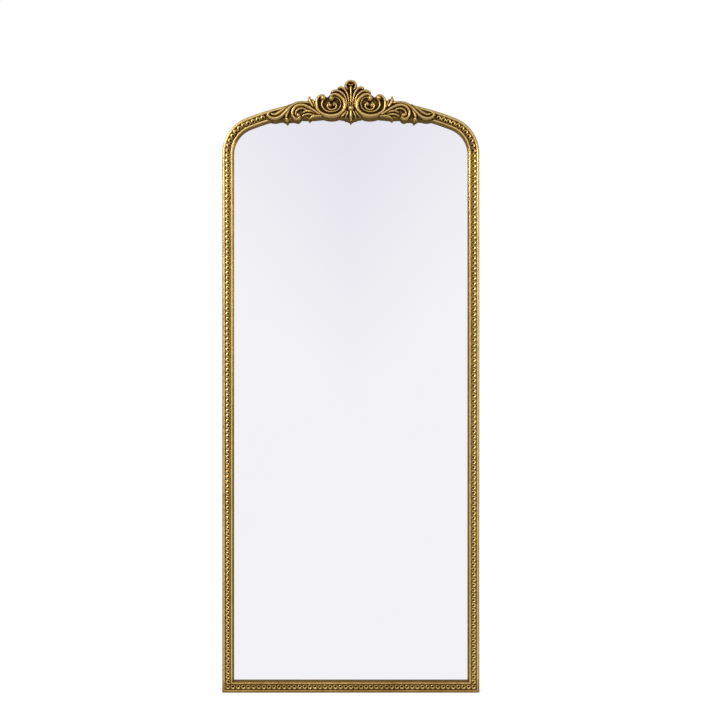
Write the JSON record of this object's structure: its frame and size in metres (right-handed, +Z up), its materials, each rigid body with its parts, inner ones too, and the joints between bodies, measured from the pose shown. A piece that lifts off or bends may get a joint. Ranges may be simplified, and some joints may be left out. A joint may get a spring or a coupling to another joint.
{
  "type": "leaning floor mirror",
  "caption": "Tall arched floor mirror in a beaded antique-gold moulding with a carved scroll crest, backed by a screwed board with hinged D-ring hangers and rubber wall bumpers.",
  "frame": {"origin": "on the floor under the middle of the bottom rail, 15.3 mm in front of the rear face of the cover", "axes": "+Z up the mirror, +X to the right seen from the front, and the glass faces -Y"},
  "size_m": [0.714, 0.0572, 1.699],
  "materials": {
    "gilt_moulding": "wood moulding with antique gold leaf over gesso, rubbed back and toned with umber",
    "gilt_beads": "pressed composition beads, antique gold with umber in the drilled pits",
    "gilt_crest": "cast resin ornament, antique gold with umber in the hollows",
    "mirror_glass": "float glass silvered on its rear face",
    "card_sheet": "plain brown card",
    "backing_board": "bare fibreboard",
    "rear_cover": "hardboard painted matt black",
    "screw_steel": "zinc-plated steel",
    "dowel_beech": "fluted beech, unfinished",
    "block_rubber": "firm black rubber",
    "bumper_rubber": "black rubber, matt",
    "hanger_steel": "zinc-plated steel strap and wire"
  },
  "bodies": {
    "root": {"left_stile": "gilt_moulding", "right_stile": "gilt_moulding", "bottom_rail": "gilt_moulding", "left_shoulder": "gilt_moulding", "right_shoulder": "gilt_moulding", "arch_rail": "gilt_moulding", "bottom_bead_course": "gilt_beads", "left_bead_course": "gilt_beads", "right_bead_course": "gilt_beads", "left_shoulder_bead_course": "gilt_beads", "right_shoulder_bead_course": "gilt_beads", "crest": "gilt_crest", "mirror_glass": "mirror_glass", "card_sheet": "card_sheet", "backing_board": "backing_board", "rear_cover": "rear_cover", "cover_screw_01": "screw_steel", "cover_screw_02": "screw_steel", "cover_screw_03": "screw_steel", "cover_screw_04": "screw_steel", "cover_screw_05": "screw_steel", "cover_screw_06": "screw_steel", "cover_screw_07": "screw_steel", "cover_screw_08": "screw_steel", "cover_screw_09": "screw_steel", "cover_screw_10": "screw_steel", "cover_screw_11": "screw_steel", "cover_screw_12": "screw_steel", "cover_screw_13": "screw_steel", "cover_screw_14": "screw_steel", "crest_screw_left": "screw_steel", "crest_screw_middle": "screw_steel", "crest_screw_right": "screw_steel", "left_strap_screw_upper": "screw_steel", "left_strap_screw_lower": "screw_steel", "right_strap_screw_upper": "screw_steel", "right_strap_screw_lower": "screw_steel", "left_mitre_dowel": "dowel_beech", "left_stile_dowel_outer": "dowel_beech", "left_stile_dowel_inner": "dowel_beech", "left_arch_dowel_outer": "dowel_beech", "left_arch_dowel_inner": "dowel_beech", "right_mitre_dowel": "dowel_beech", "right_stile_dowel_outer": "dowel_beech", "right_stile_dowel_inner": "dowel_beech", "right_arch_dowel_outer": "dowel_beech", "right_arch_dowel_inner": "dowel_beech", "left_setting_block": "block_rubber", "right_setting_block": "block_rubber", "left_upper_bumper": "bumper_rubber", "left_lower_bumper": "bumper_rubber", "right_upper_bumper": "bumper_rubber", "right_lower_bumper": "bumper_rubber", "left_hanger_strap": "hanger_steel", "right_hanger_strap": "hanger_steel"},
    "left_ring": {"left_hanger_ring": "hanger_steel"},
    "right_ring": {"right_hanger_ring": "hanger_steel"}
  },
  "joints": [
    {"name": "left_ring_swing", "type": "hinge", "parent": "root", "child": "left_ring", "pos_m": [-0.342, 0.0184, 1.3], "axis": [1, 0, 0], "range_deg": [0, 180]},
    {"name": "right_ring_swing", "type": "hinge", "parent": "root", "child": "right_ring", "pos_m": [0.342, 0.0184, 1.3], "axis": [1, 0, 0], "range_deg": [0, 180]}
  ]
}
